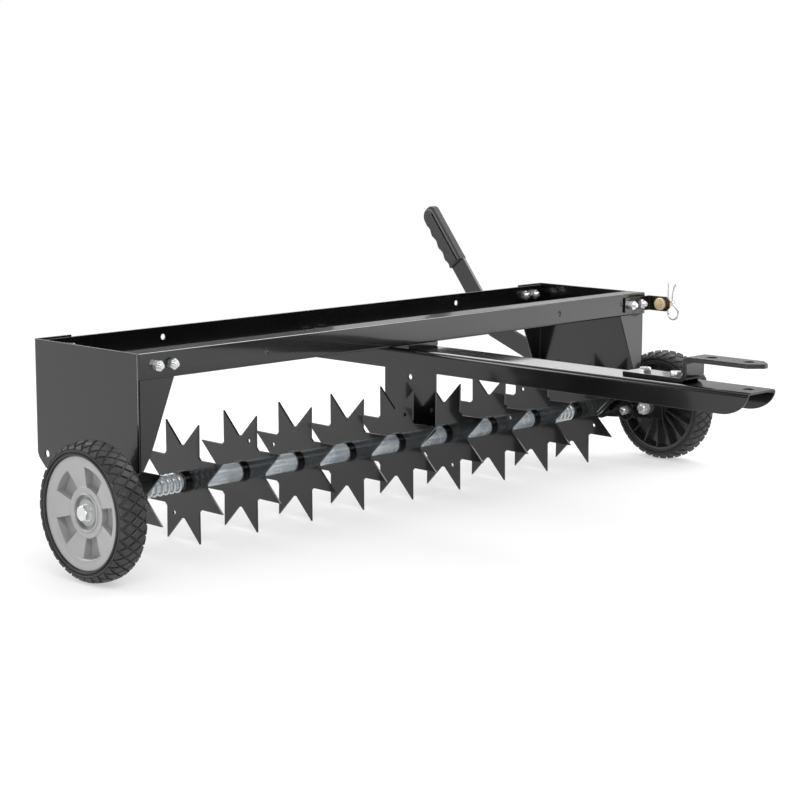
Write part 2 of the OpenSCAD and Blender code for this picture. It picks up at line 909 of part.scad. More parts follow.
module tyre() {
    rotate([90, 0, 90])
        rotate_extrude($fn = 96)
            polygon([[rim_r, 0.6], [rim_r + 1.5, 0], [wheel_r - 8, 0.4], [wheel_r - 3, 3.2], [wheel_r - 0.8, 8],
                [wheel_r, 14], [wheel_r, wheel_w - 14], [wheel_r - 0.8, wheel_w - 8], [wheel_r - 3, wheel_w - 3.2],
                [wheel_r - 8, wheel_w - 0.4], [rim_r + 1.5, wheel_w], [rim_r, wheel_w - 0.6]]);
}

module wheel_core() {
    difference() {
        union() {
            ring_x(rim_r - 4, rim_r, 2, wheel_w - 6.8);
            ring_x(15, rim_r - 2, 15, 18);
            ring_x(9, 17, 0.3, 29);
            for (i = [0 : 15])
                rotate([22.5 * i, 0, 0])
                    translate([4, -1, 14])
                        cube([12, 2, rim_r - 17]);
        }
        rodx(9, -5, 60, 0, 0);
    }
}

dish_r = rim_r - 14.5;
cover_z = wheel_w - 23.5;
lip_z = wheel_w - 3.2;
spoke_a = 175 / spoke_n;
cover_pts = [[rim_r, wheel_w - 6.8], [rim_r, lip_z - 1], [rim_r - 1, lip_z], [rim_r - 3.5, lip_z],
    [dish_r + 1.2, lip_z - 3.2], [dish_r, lip_z - 4.2], [dish_r, cover_z], [dish_r + 2.5, cover_z],
    [dish_r + 2.5, lip_z - 6.2], [rim_r - 3.8, wheel_w - 6.8]];
spoke_pts = [[31, cover_z], [31, lip_z - 8.8], [dish_r + 0.8, lip_z - 4], [dish_r + 0.8, cover_z]];

module wheel_cover() {
    rotate([90, 0, 90])
        rotate_extrude($fn = 96)
            polygon(cover_pts);
    ring_x(20, dish_r + 1, cover_z, cover_z + 2.5);
    ring_x(21.5, 32, cover_z, wheel_w - 10.5);
    intersection() {
        rotate([90, 0, 90])
            rotate_extrude($fn = 96)
                polygon(spoke_pts);
        for (i = [0 : spoke_n - 1])
            rotate([90, 0, 90])
                rotate(105 + 360 * i / spoke_n)
                    linear_extrude(height = wheel_w)
                        polygon([[0, 0], [rim_r, -rim_r * tan(spoke_a / 2)], [rim_r, rim_r * tan(spoke_a / 2)]]);
    }
}

module wheel_bush() {
    difference() {
        ring_x(0, 9, 0.3, 29);
        ring_x(0, axle_r + run_gap, -1, 40);
    }
}

module left_tyre() {
    color([0.06, 0.06, 0.06])
        at_wheel(-1)
            tyre();
}

module right_tyre() {
    color([0.06, 0.06, 0.06])
        at_wheel(1)
            tyre();
}

module left_wheel_core() {
    color([0.07, 0.07, 0.075])
        at_wheel(-1)
            wheel_core();
}

module right_wheel_core() {
    color([0.07, 0.07, 0.075])
        at_wheel(1)
            wheel_core();
}

module left_wheel_cover() {
    color([0.5, 0.5, 0.5])
        at_wheel(-1)
            wheel_cover();
}

module right_wheel_cover() {
    color([0.5, 0.5, 0.5])
        at_wheel(1)
            wheel_cover();
}

module left_wheel_bush() {
    color([0.6, 0.6, 0.6])
        at_wheel(-1)
            wheel_bush();
}

module right_wheel_bush() {
    color([0.6, 0.6, 0.6])
        at_wheel(1)
            wheel_bush();
}

module lock_pin() {
    color([0.75, 0.68, 0.45])
        placed()
            difference() {
                union() {
                    rodx(pin_r, tab_x0 - 1, tab_x1 + 25, pin_y, pin_z);
                    rodx(9.5, tab_x0 - 6.1, tab_x0 - 0.1, pin_y, pin_z);
                }
                translate([clip_x, pin_y, pin_z - 20])
                    cylinder(r = clip_r + 0.06, h = 40);
            }
}

loop_c = [pin_y - 9.8, pin_z - 16];
loop_r = 9.8;
front_y = pin_y - pin_r - clip_r - 0.5;
clip_pts = concat([[pin_y, pin_z + 32.5], [pin_y, loop_c[1]]],
    [for (a = [-20 : -20 : -180]) [loop_c[0] + loop_r * cos(a), loop_c[1] + loop_r * sin(a)]],
    [[loop_c[0] - loop_r + 0.6, loop_c[1] + 5], [front_y - 4, pin_z - 5], [front_y, pin_z + 2],
        [front_y, pin_z + 14], [front_y - 2.5, pin_z + 24], [front_y - 6, pin_z + 31]]);

clip_n = len(clip_pts);
clip_dir = [for (i = [0 : clip_n - 1])
    let (d = clip_pts[min(i + 1, clip_n - 1)] - clip_pts[max(i - 1, 0)]) d / norm(d)];

module hairpin_clip() {
    pts = [for (i = [0 : clip_n - 1], j = [0 : 11])
        let (p = clip_pts[i], d = clip_dir[i], q = 30 * j)
        [clip_x + clip_r * sin(q), p[0] + clip_r * cos(q) * d[1], p[1] - clip_r * cos(q) * d[0]]];
    faces = concat([[for (j = [11 : -1 : 0]) j]],
        [for (i = [0 : clip_n - 2], j = [0 : 11]) [i * 12 + j, i * 12 + (j + 1) % 12, (i + 1) * 12 + (j + 1) % 12]],
        [for (i = [0 : clip_n - 2], j = [0 : 11]) [i * 12 + j, (i + 1) * 12 + (j + 1) % 12, (i + 1) * 12 + j]],
        [[for (j = [0 : 11]) (clip_n - 1) * 12 + j]]);
    color([0.75, 0.77, 0.8])
        placed()
            polyhedron(points = pts, faces = faces);
}

front_rail();
rear_rail();
left_end_plate();
right_end_plate();
tray_floor();
drawbar();
drawbar_pads();
centre_hanger();
hitch_strap();
hitch_bolts();
hitch_nuts();
pin_bracket();
front_rail_bolts();
front_rail_nuts();
rear_rail_bolts();
rear_rail_nuts();
drawbar_bolts();
drawbar_nuts();
hanger_bolts();
hanger_nuts();
left_bushing();
right_bushing();
hanger_bushing();
tine_shaft();
left_arm();
right_arm();
lift_lever();
lever_grip();
lever_bolts();
left_axle_bolt();
right_axle_bolt();
left_axle_nut();
right_axle_nut();
left_axle_spacer();
right_axle_spacer();
shaft_end_nuts();
shaft_spacers();
left_tine_spring();
right_tine_spring();
tine_wheel_0();
tine_wheel_1();
tine_wheel_2();
tine_wheel_3();
tine_wheel_4();
tine_wheel_5();
tine_wheel_6();
tine_wheel_7();
tine_wheel_8();
tine_wheel_9();
left_tyre();
left_wheel_core();
left_wheel_cover();
left_wheel_bush();
right_tyre();
right_wheel_core();
right_wheel_cover();
right_wheel_bush();
lock_pin();
hairpin_clip();
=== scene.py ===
"""Looks of a tow behind spike aerator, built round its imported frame, in metres."""
import json
import math
from collections import namedtuple
import bmesh
import bpy
import numpy as np
from mathutils import Matrix, Vector


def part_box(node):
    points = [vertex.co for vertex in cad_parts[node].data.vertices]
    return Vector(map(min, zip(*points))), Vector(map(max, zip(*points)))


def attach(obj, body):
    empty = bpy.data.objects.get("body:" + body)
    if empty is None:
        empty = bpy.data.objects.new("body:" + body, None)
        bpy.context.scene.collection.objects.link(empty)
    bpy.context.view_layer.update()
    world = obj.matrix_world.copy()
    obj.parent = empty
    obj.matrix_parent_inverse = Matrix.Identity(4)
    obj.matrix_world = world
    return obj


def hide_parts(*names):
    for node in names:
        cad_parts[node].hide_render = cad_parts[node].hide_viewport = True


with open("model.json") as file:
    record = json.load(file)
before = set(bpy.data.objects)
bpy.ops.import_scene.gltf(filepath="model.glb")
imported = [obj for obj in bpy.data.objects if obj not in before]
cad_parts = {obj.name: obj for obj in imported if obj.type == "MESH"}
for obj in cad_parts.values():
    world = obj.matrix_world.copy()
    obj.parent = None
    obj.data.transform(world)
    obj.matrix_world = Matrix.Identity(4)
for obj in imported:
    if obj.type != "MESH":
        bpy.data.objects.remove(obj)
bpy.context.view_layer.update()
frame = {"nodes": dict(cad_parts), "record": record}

X, Y, Z = 0, 1, 2
LOW, HIGH = 0, 1
SIDES = (("left", -1), ("right", 1))


def middle(box, axis):
    """The middle of a box along one axis."""
    return (box[LOW][axis] + box[HIGH][axis]) / 2


# sizes read from the frame's own nodes
SHAFT_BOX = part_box("tine_shaft")
SHAFT_Y, SHAFT_Z = middle(SHAFT_BOX, Y), middle(SHAFT_BOX, Z)
TYRE_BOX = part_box("left_tyre")
AXLE_Y, AXLE_Z = middle(TYRE_BOX, Y), middle(TYRE_BOX, Z)
WHEEL_IN, WHEEL_OUT = -TYRE_BOX[HIGH][X], -TYRE_BOX[LOW][X]
FRONT_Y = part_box("front_rail")[LOW][Y]


# ---------------------------------------------------------------- materials
class Val:
    """A value socket that Python's own operators can work on."""

    def __init__(self, kit, socket):
        self.kit = kit
        self.socket = socket

    def _math(self, operation, other):
        return self.kit.node("ShaderNodeMath", {"operation": operation}, {0: self, 1: other})

    def __add__(self, other):
        return self._math("ADD", other)

    def __mul__(self, other):
        return self._math("MULTIPLY", other)

    __radd__ = __add__
    __rmul__ = __mul__

    def band(self, low, high):
        """0 below low, 1 above high, smooth between."""
        return self.kit.node(
            "ShaderNodeMapRange",
            {"interpolation_type": "SMOOTHSTEP"},
            {"Value": self, "From Min": low, "From Max": high})


class Kit:
    """Makes the nodes of one material or world."""

    def __init__(self, owner):
        self.owner = owner
        owner.use_nodes = True
        self.tree = owner.node_tree

    def put(self, target, value):
        """Links a value to a socket, or writes a number or colour there."""
        if isinstance(value, Val):
            self.tree.links.new(value.socket, target)
        else:
            target.default_value = value

    def node(self, kind, settings=None, values=None, out=0):
        """A new node with its settings and its sockets' values; gives one of its outputs."""
        made = self.tree.nodes.new(kind)
        for key, value in (settings or {}).items():
            setattr(made, key, value)
        for key, value in (values or {}).items():
            self.put(made.inputs[key], value)
        return Val(self, made.outputs[out])

    def coords(self):
        """The object's own coordinates."""
        return self.node("ShaderNodeTexCoord", out="Object")

    def noise(self, scale, detail=3.0, stretch=(1, 1, 1), roughness=0.5):
        """Noise on the object's coordinates, finer along an axis with a larger stretch."""
        place = self.node("ShaderNodeMapping", {}, {"Vector": self.coords(), "Scale": stretch})
        return self.node("ShaderNodeTexNoise", {}, {
            "Vector": place, "Scale": scale, "Detail": detail, "Roughness": roughness})

    def mix(self, factor, a, b):
        """A colour that goes from a to b."""
        return self.node(
            "ShaderNodeMix", {"data_type": "RGBA"}, {0: factor, 6: a, 7: b}, out=2)

    def blend(self, factor, a, b):
        """A shader that goes from a to b."""
        return self.node("ShaderNodeMixShader", {}, {0: factor, 1: a, 2: b})

    def bump(self, height, strength, distance):
        """A normal that follows a height."""
        return self.node("ShaderNodeBump", {}, {
            "Height": height, "Strength": strength, "Distance": distance})

    def set(self, **values):
        """Fills sockets of the material's shader, and gives the material."""
        shader = self.tree.nodes["Principled BSDF"]
        for key, value in values.items():
            self.put(shader.inputs[key.replace("_", " ")], value)
        return self.owner


def material_kit(name):
    """A kit on a new material."""
    return Kit(bpy.data.materials.new(name))


def grey(v, tint=(1, 1, 1)):
    """A grey of one level, times a tint."""
    return (v * tint[0], v * tint[1], v * tint[2], 1)


def black_paint():
    """Glossy baked paint with a little orange peel."""
    kit = material_kit("black_paint")
    peel = kit.noise(260, detail=2)
    cloud = kit.noise(9)
    return kit.set(
        Base_Color=kit.mix(cloud.band(0.35, 0.7), grey(0.0026), grey(0.0036)),
        Roughness=cloud.band(0.3, 0.75) * 0.06 + 0.2,
        Metallic=0.0,
        Coat_Weight=0.85,
        Coat_Roughness=0.07,
        Normal=kit.bump(peel, strength=0.04, distance=0.0005))


def zinc(name, tone, tint, rough, metal):
    """Plated steel with faint stains."""
    kit = material_kit(name)
    stain = kit.noise(140, detail=4)
    return kit.set(
        Base_Color=kit.mix(stain.band(0.3, 0.7), grey(tone * 0.93, tint), grey(tone, tint)),
        Roughness=stain.band(0.2, 0.8) * 0.06 + rough,
        Metallic=metal,
        Normal=kit.bump(kit.noise(900, detail=2), strength=0.03, distance=0.0003))


def galvanised():
    """Zinc-dipped tube, streaked along its length."""
    kit = material_kit("galvanised_tube")
    streak = kit.noise(60, detail=4, stretch=(0.12, 2.4, 2.4), roughness=0.6)
    blot = kit.noise(55)
    shade = streak.band(0.34, 0.66) * 0.75 + blot.band(0.3, 0.7) * 0.25
    return kit.set(
        Base_Color=kit.mix(shade, grey(0.52, (0.86, 1, 1.12)), grey(0.97, (0.94, 1, 1.03))),
        Roughness=blot.band(0.25, 0.75) * 0.12 + 0.2,
        Metallic=0.45,
        Normal=kit.bump(streak, strength=0.12, distance=0.0004))


def plastic(name, tone, rough, coat=0.0, specular=0.5):
    """Moulded plastic with a fine grain."""
    kit = material_kit(name)
    grain = kit.noise(1400, detail=2)
    cloud = kit.noise(26)
    return kit.set(
        Base_Color=kit.mix(cloud.band(0.3, 0.7), grey(tone * 0.93), grey(tone)),
        Roughness=cloud.band(0.3, 0.7) * 0.05 + rough,
        Specular_IOR_Level=specular,
        Coat_Weight=coat,
        Coat_Roughness=0.12,
        Normal=kit.bump(grain, strength=0.08, distance=0.0003))


def rubber():
    """Matt black tyre rubber."""
    kit = material_kit("tyre_rubber")
    cloud = kit.noise(60)
    return kit.set(
        Base_Color=kit.mix(cloud.band(0.3, 0.7), grey(0.026), grey(0.038)),
        Roughness=cloud.band(0.3, 0.7) * 0.12 + 0.42,
        Normal=kit.bump(kit.noise(700), strength=0.12, distance=0.0005))


COOL, GOLD, BROWN = (0.98, 1, 1.02), (1, 0.76, 0.44), (1, 0.76, 0.45)
PAINT = black_paint()
ZINC = zinc("zinc_fasteners", tone=0.9, tint=COOL, rough=0.22, metal=0.85)
BRIGHT = zinc("bright_wire", tone=0.86, tint=COOL, rough=0.2, metal=0.65)
YELLOW = zinc("yellow_zinc", tone=0.85, tint=GOLD, rough=0.3, metal=0.45)
BRONZE = zinc("bush_bronze", tone=0.5, tint=BROWN, rough=0.4, metal=0.9)
GALV = galvanised()
GREY = plastic("grey_hub_plastic", tone=0.33, rough=0.28, coat=0.8)
DARK = plastic("black_hub_plastic", tone=0.022, rough=0.24, coat=0.8)
GRIP = plastic("grip_plastic", tone=0.03, rough=0.42)
# the rib plastic is the grip's black made lighter: a painted highlight along each rib
RIB_HIGHLIGHT = plastic("grip_rib_painted_highlight", tone=0.11, rough=0.3)
# the slit plastic is near black and matt: painted shade for a groove beside each rib
SLIT_SHADE = plastic("grip_slit_painted_shade", tone=0.003, rough=0.7, specular=0.1)
RUBBER = rubber()
FINISH = {
    "black_paint": PAINT, "zinc": ZINC, "bright_zinc": BRIGHT, "pin_zinc": YELLOW,
    "bush_bronze": BRONZE, "galvanised": GALV, "grey_plastic": GREY, "black_plastic": DARK,
    "tyre_rubber": RUBBER}
SLOT_OF = {s["node"]: s["material_slot"] for s in frame["record"]["subparts"]}
BODY_OF = {n: body for body, nodes in frame["record"]["behaviour"]["bodies"].items()
           for n in nodes}

for node_name in frame["nodes"]:
    cad_mesh = frame["nodes"][node_name].data
    cad_mesh.materials.clear()
    cad_mesh.materials.append(FINISH[SLOT_OF[node_name]])


# ---------------------------------------------------------------- mesh helpers
def placed(name, data):
    """A new object in the scene, at the origin."""
    obj = bpy.data.objects.new(name, data)
    bpy.context.scene.collection.objects.link(obj)
    return obj


def shade(mesh, angle):
    """Smooth faces, with the edges sharper than an angle in degrees kept sharp."""
    mesh.shade_smooth()
    mesh.set_sharp_from_angle(angle=math.radians(angle))


def solid(name, verts, faces, material, angle):
    """An object of one material, made from points and faces."""
    mesh = bpy.data.meshes.new(name)
    mesh.from_pydata([tuple(v) for v in verts], [], [tuple(f) for f in faces])
    mesh.validate()
    shade(mesh, angle)
    mesh.materials.append(material)
    return placed(name, mesh)


def outward(obj):
    """Turns a closed mesh's faces outwards."""
    bm = bmesh.new()
    bm.from_mesh(obj.data)
    bmesh.ops.recalc_face_normals(bm, faces=bm.faces)
    bm.to_mesh(obj.data)
    bm.free()
    return obj


def skin(rows, points, start=0, wrap=False, strip=False, flip=False):
    """Faces between rows of points.

    wrap joins the last row to the first, strip leaves each row's two ends apart, and flip
    turns the faces round."""
    faces = []
    for k in range(rows if wrap else rows - 1):
        near, far = start + k * points, start + (k + 1) % rows * points
        for i in range(points - 1 if strip else points):
            j = (i + 1) % points
            a, b, c, d = near + i, near + j, far + j, far + i
            faces.append((a, d, c, b) if flip else (a, b, c, d))
    return faces


def turned_points(profile, steps):
    """A (radius, height) profile turned about Z, one row for each step."""
    verts = []
    for i in range(steps):
        a = 2 * math.pi * i / steps
        verts += [(r * math.cos(a), r * math.sin(a), z) for r, z in profile]
    return verts


def turned(profile, steps):
    """A closed profile turned about Z."""
    return turned_points(profile, steps), skin(steps, len(profile), wrap=True, flip=True)


HEX_POINTS = 48
SIXTH = math.pi / 3
CHAMFER_R = 0.985  # radius where the chamfer starts, in half flats
CHAMFER_SLOPE = math.tan(math.radians(28))
WASHER_FACE = 0.0006  # height of the round face under a head
BORE_CHAMFER = 0.0004


def hex_piece(flats, height, bore=0.0, washer=0.0):
    """A chamfered hexagon standing on z = 0: a head on its round face, or a bored nut."""
    angles = [2 * math.pi * i / HEX_POINTS for i in range(HEX_POINTS)]
    hexagon = [flats / 2 / math.cos((a + SIXTH / 2) % SIXTH - SIXTH / 2) for a in angles]
    corner = flats / 2 * CHAMFER_R
    drop = [(r - corner) * CHAMFER_SLOPE for r in hexagon]

    def ring(radii, heights):
        """A row of points; a single number holds for the whole row."""
        radii = radii if isinstance(radii, list) else [radii] * HEX_POINTS
        heights = heights if isinstance(heights, list) else [heights] * HEX_POINTS
        return [(r * math.cos(a), r * math.sin(a), z)
                for a, r, z in zip(angles, radii, heights)]

    rings = [ring(bore, 0.0)]
    if washer:
        rings += [ring(washer, 0.0), ring(washer, WASHER_FACE), ring(hexagon, WASHER_FACE)]
    else:
        rings += [ring(corner, 0.0), ring(hexagon, drop)]
    rings += [ring(hexagon, [height - d for d in drop]), ring(corner, height)]
    if bore:
        rings += [ring(bore + BORE_CHAMFER, height), ring(bore, height - BORE_CHAMFER)]
    faces = skin(len(rings), HEX_POINTS, wrap=bool(bore))
    if not bore:
        top = (len(rings) - 1) * HEX_POINTS
        faces += [tuple(range(top, top + HEX_POINTS)), tuple(reversed(range(HEX_POINTS)))]
    return [p for r in rings for p in r], faces


STUD_STEPS = 24
FOOT_R, ROOT_R, TIP_R = 0.86, 0.88, 0.80  # in thread radii
CREST_AT, ROOT_AT = 0.45, 0.95  # in turns of the thread


def stud_piece(radius, length, pitch):
    """A threaded bolt end standing on z = 0."""
    outline = [(radius * FOOT_R, 0.0)]
    for i in range(int(length / pitch)):
        z = i * pitch
        outline += [(radius, z + pitch * CREST_AT), (radius * ROOT_R, z + pitch * ROOT_AT)]
    outline.append((radius * TIP_R, length))
    n = len(outline)
    faces = skin(STUD_STEPS, n, wrap=True, strip=True, flip=True)
    faces.append(tuple(i * n + n - 1 for i in range(STUD_STEPS)))
    faces.append(tuple(reversed([i * n for i in range(STUD_STEPS)])))
    return turned_points(outline, STUD_STEPS), faces


def source(name, piece):
    """A hidden fastener that the spreads copy."""
    obj = solid(name, *piece, ZINC, angle=25)
    obj.hide_render = True
    return obj


def geometry_tree(name, geometry, size, default):
    """A Geometry Nodes tree with a geometry and a size going in, and a mesh coming out."""
    tree = bpy.data.node_groups.new(name, "GeometryNodeTree")
    new_socket = tree.interface.new_socket
    new_socket(geometry, in_out="INPUT", socket_type="NodeSocketGeometry")
    size_socket = new_socket(size, in_out="INPUT", socket_type="NodeSocketFloat")
    size_socket.default_value = default
    new_socket("Mesh", in_out="OUTPUT", socket_type="NodeSocketGeometry")
    return tree, size_socket


def end_tree(tree, last, material):
    """The tree ends in plain geometry with its material."""
    real, paint = (tree.nodes.new(kind) for kind in (
        "GeometryNodeRealizeInstances", "GeometryNodeSetMaterial"))
    out = tree.nodes.new("NodeGroupOutput")
    paint.inputs["Material"].default_value = material
    tree.links.new(last.outputs[0], real.inputs[0])
    tree.links.new(real.outputs[0], paint.inputs["Geometry"])
    tree.links.new(paint.outputs[0], out.inputs[0])


def spread_tree(name, source_obj, material):
    """One copy of a source on every point, turned by the points' own angles."""
    tree, _ = geometry_tree(name, "Points", "Size", 1.0)
    inp, copies, info, turn, euler = (tree.nodes.new(kind) for kind in (
        "NodeGroupInput", "GeometryNodeInstanceOnPoints", "GeometryNodeObjectInfo",
        "GeometryNodeInputNamedAttribute", "FunctionNodeEulerToRotation"))
    turn.data_type = "FLOAT_VECTOR"
    turn.inputs["Name"].default_value = "turn"
    info.inputs["Object"].default_value = source_obj
    link = tree.links.new
    link(inp.outputs["Points"], copies.inputs["Points"])
    link(info.outputs["Geometry"], copies.inputs["Instance"])
    link(turn.outputs[0], euler.inputs[0])
    link(euler.outputs[0], copies.inputs["Rotation"])
    link(inp.outputs["Size"], copies.inputs["Scale"])
    end_tree(tree, copies, material)
    return tree


def settle(obj):
    """The evaluated mesh of an object replaces its own, with its modifiers removed."""
    bpy.context.view_layer.update()
    graph = bpy.context.evaluated_depsgraph_get()
    mesh = bpy.data.meshes.new_from_object(obj.evaluated_get(graph), depsgraph=graph)
    obj.modifiers.clear()
    obj.data = mesh


def spread(name, source_obj, places, material):
    """Copies of a source; each place is a position and (x, y, z) turns in radians."""
    spots = bpy.data.meshes.new(name + "_spots")
    spots.from_pydata([tuple(p) for p, _ in places], [], [])
    turn = spots.attributes.new("turn", "FLOAT_VECTOR", "POINT")
    for i, (_, angles) in enumerate(places):
        turn.data[i].vector = angles
    obj = placed(name, spots)
    modifier = obj.modifiers.new("spread", "NODES")
    modifier.node_group = spread_tree(name + "_tree", source_obj, material)
    settle(obj)
    return obj


def sweep(name, points, radius, sides, material):
    """A round wire along a path."""
    path = bpy.data.meshes.new(name + "_path")
    path.from_pydata([tuple(p) for p in points], [(i, i + 1) for i in range(len(points) - 1)], [])
    obj = placed(name, path)
    tree, thick = geometry_tree(name + "_tree", "Path", "Radius", radius)
    inp, curve, circle, tube = (tree.nodes.new(kind) for kind in (
        "NodeGroupInput", "GeometryNodeMeshToCurve", "GeometryNodeCurvePrimitiveCircle",
        "GeometryNodeCurveToMesh"))
    circle.inputs["Resolution"].default_value = sides
    tube.inputs["Fill Caps"].default_value = True
    link = tree.links.new
    link(inp.outputs["Path"], curve.inputs[0])
    link(inp.outputs["Radius"], circle.inputs["Radius"])
    link(curve.outputs[0], tube.inputs["Curve"])
    link(circle.outputs[0], tube.inputs["Profile Curve"])
    end_tree(tree, tube, material)
    modifier = obj.modifiers.new("sweep", "NODES")
    modifier.node_group = tree
    modifier[thick.identifier] = radius
    settle(obj)
    shade(obj.data, angle=50)
    return obj


def dress(obj, body, slot_name, *nodes):
    """A piece rides a body and may stand for CAD nodes; its slot name is not used."""
    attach(obj, body)
    if nodes:
        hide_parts(*nodes)
    return obj


WELD = 2e-6
COPLANAR, EDGE_ANGLE = math.radians(1), math.radians(30)
EDGE_SEGMENTS = 3


def formed(node, worn, bend=0.0, is_bend=None):
    """A merged copy of a CAD node, with worn edges and rounded bends, takes its place."""
    widest = max(worn, bend)
    bm = bmesh.new()
    bm.from_mesh(frame["nodes"][node].data)
    bmesh.ops.remove_doubles(bm, verts=bm.verts, dist=WELD)
    bmesh.ops.dissolve_limit(bm, angle_limit=COPLANAR, verts=bm.verts, edges=bm.edges)
    weight = bm.edges.layers.float.new("bevel_weight_edge")
    for edge in bm.edges:
        if len(edge.link_faces) == 2 and edge.calc_face_angle(0) > EDGE_ANGLE:
            bent = is_bend is not None and is_bend(*(v.co for v in edge.verts))
            edge[weight] = 1.0 if bent else worn / widest
    mesh = bpy.data.meshes.new(node + "_form")
    bm.to_mesh(mesh)
    bm.free()
    obj = placed(node + "_form", mesh)
    mesh.materials.append(FINISH[SLOT_OF[node]])
    bevel = obj.modifiers.new("edge", "BEVEL")
    bevel.width = widest
    bevel.segments = EDGE_SEGMENTS
    bevel.limit_method = "WEIGHT"
    bevel.use_clamp_overlap = False
    settle(obj)
    shade(obj.data, angle=40)
    flat = obj.modifiers.new("flat_faces", "WEIGHTED_NORMAL")
    flat.keep_sharp = True
    settle(obj)
    return dress(obj, BODY_OF[node], SLOT_OF[node], node)


# ---------------------------------------------------------------- sheet metal
PLATE_OUT = -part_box("left_end_plate")[LOW][X]
STRAP_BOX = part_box("hitch_strap")
NEAR = 0.0004
RAIL_LINE, PLATE_LINE, STRAP_LINE = 0.2, 0.05, 0.02  # the shortest lines that count as bends
STRAP_TIP = 0.004  # the strap's ends, which have no bend
TINE_WHEELS = 10


def rail_bend(a, b):
    """The outer lines where the front rail's wall turns into its flanges."""
    long_way = abs(a.x - b.x) > RAIL_LINE
    return long_way and abs(a.y - FRONT_Y) < NEAR and abs(b.y - FRONT_Y) < NEAR


def plate_bend(a, b):
    """The upright lines where an end plate turns into its flanges."""
    upright = abs(a.z - b.z) > PLATE_LINE and abs(a.y - b.y) < NEAR
    return upright and abs(abs(a.x) - PLATE_OUT) < NEAR and abs(abs(b.x) - PLATE_OUT) < NEAR


def strap_bend(a, b):
    """The lines across the strap at its two bends."""
    across = abs(a.x - b.x) > STRAP_LINE and abs(a.y - b.y) < NEAR
    return across and STRAP_BOX[LOW][Y] + STRAP_TIP < a.y < STRAP_BOX[HIGH][Y] - STRAP_TIP


formed("front_rail", worn=0.0005, bend=0.0030, is_bend=rail_bend)
formed("rear_rail", worn=0.0005)
for side, _ in SIDES:
    formed(f"{side}_end_plate", worn=0.0006, bend=0.0030, is_bend=plate_bend)
    formed(f"{side}_arm", worn=0.0005)
    formed(f"{side}_wheel_cover", worn=0.0008)
for node_name in ("tray_floor", "drawbar_pads", "centre_hanger", "pin_bracket", "lift_lever",
                  "drawbar"):
    formed(node_name, worn=0.0005)
formed("hitch_strap", worn=0.0009, bend=0.0028, is_bend=strap_bend)
formed("lock_pin", worn=0.0011)
for k in range(TINE_WHEELS):
    formed(f"tine_wheel_{k}", worn=0.0003)

# ---------------------------------------------------------------- bolts and nuts
Thread = namedtuple("Thread", "radius pitch flats head nut")
M8 = Thread(radius=0.004, pitch=0.00125, flats=0.013, head=0.0053, nut=0.0065)
M12 = Thread(radius=0.006, pitch=0.00175, flats=0.018, head=0.0075, nut=0.0095)
M8_END, M12_END = 0.0115, 0.0125  # threaded lengths past the nuts' seats
WASHER_R = 0.47  # radius of a head's round face, in flats
SHAFT_NUT = {"flats": 0.027, "height": 0.008, "bore": 0.0101}
head8 = source("head_m8", hex_piece(M8.flats, M8.head, washer=M8.flats * WASHER_R))
nut8 = source("nut_m8", hex_piece(M8.flats, M8.nut, bore=M8.radius))
stud8 = source("stud_m8", stud_piece(M8.radius, M8_END, M8.pitch))
head12 = source("head_m12", hex_piece(M12.flats, M12.head, washer=M12.flats * WASHER_R))
nut12 = source("nut_m12", hex_piece(M12.flats, M12.nut, bore=M12.radius))
stud12 = source("stud_m12", stud_piece(M12.radius, M12_END, M12.pitch))
nut_shaft = source("nut_shaft", hex_piece(**SHAFT_NUT))

QUARTER = math.pi / 2
TURN_TO = {"-Y": (QUARTER, 0), "+Y": (-QUARTER, 0), "+X": (0, QUARTER), "-X": (0, -QUARTER),
           "+Z": (0, 0), "-Z": (math.pi, 0)}  # turns about X, then Y, from pointing up
FIRST_TWIST, NEXT_TWIST = 0.31, 1.7
GRID = 1e5  # corners nearer than a hundredth of a millimetre are one


def solid_boxes(node):
    """Boxes of the separate solids of a CAD node, from its own loose triangles."""
    mesh = frame["nodes"][node].data
    pts = np.empty(len(mesh.vertices) * 3)
    mesh.vertices.foreach_get("co", pts)
    pts = pts.reshape(-1, 3)
    key = np.round(pts * GRID).astype(np.int64)
    _, index = np.unique(key, axis=0, return_inverse=True)
    index = index.reshape(-1)
    parent = list(range(index.max() + 1))

    def root(i):
        while parent[i] != i:
            parent[i] = parent[parent[i]]
            i = parent[i]
        return i

    for poly in mesh.polygons:
        ids = [root(index[v]) for v in poly.vertices]
        for other in ids[1:]:
            parent[root(other)] = root(ids[0])
    groups = {}
    for i, p in zip(index, pts):
        groups.setdefault(root(i), []).append(p)
    boxes = [(np.min(g, axis=0), np.max(g, axis=0)) for g in groups.values()]
    return sorted(boxes, key=lambda b: tuple(np.round((b[LOW] + b[HIGH]) / 2, 4)))


def seats(node, way, end, at=0.0):
    """Points on the axes of a node's solids, at a distance from one end, and their way."""
    axis = "XYZ".index(way[1])
    points = []
    for box in solid_boxes(node):
        p = (box[LOW] + box[HIGH]) / 2
        p[axis] = box[end][axis] + at
        points.append(Vector(p))
    return points, way


def on_plane(node, way, x):
    """Points where a node's axes cross the plane at x, and their way."""
    return [Vector((x, p.y, p.z)) for p in seats(node, way, LOW)[0]], way


def outside(sign):
    """The way out of the machine on one side."""
    return "+X" if sign > 0 else "-X"


def axle_pair(piece, out, inward=False):
    """A place on each axle, equally far out, facing out or in."""
    return [on_plane(f"{side}_{piece}", outside(-sign if inward else sign), sign * out)
            for side, sign in SIDES]


def twist(way, i):
    """The turn of one fastener: its way, then about its own axis, so that no two stand alike."""
    x, y = TURN_TO[way]
    base = Matrix.Rotation(y, 3, "Y") @ Matrix.Rotation(x, 3, "X")
    return tuple((base @ Matrix.Rotation(FIRST_TWIST + NEXT_TWIST * i, 3, "Z")).to_euler())


def fasten(name, src, body, material, groups, nodes=()):
    """Copies of one fastener on groups of places, as one piece."""
    places = []
    for points, way in groups:
        for p in points:
            places.append((p, twist(way, len(places))))
    return dress(spread(name, src, places, material), body, "zinc", *nodes)


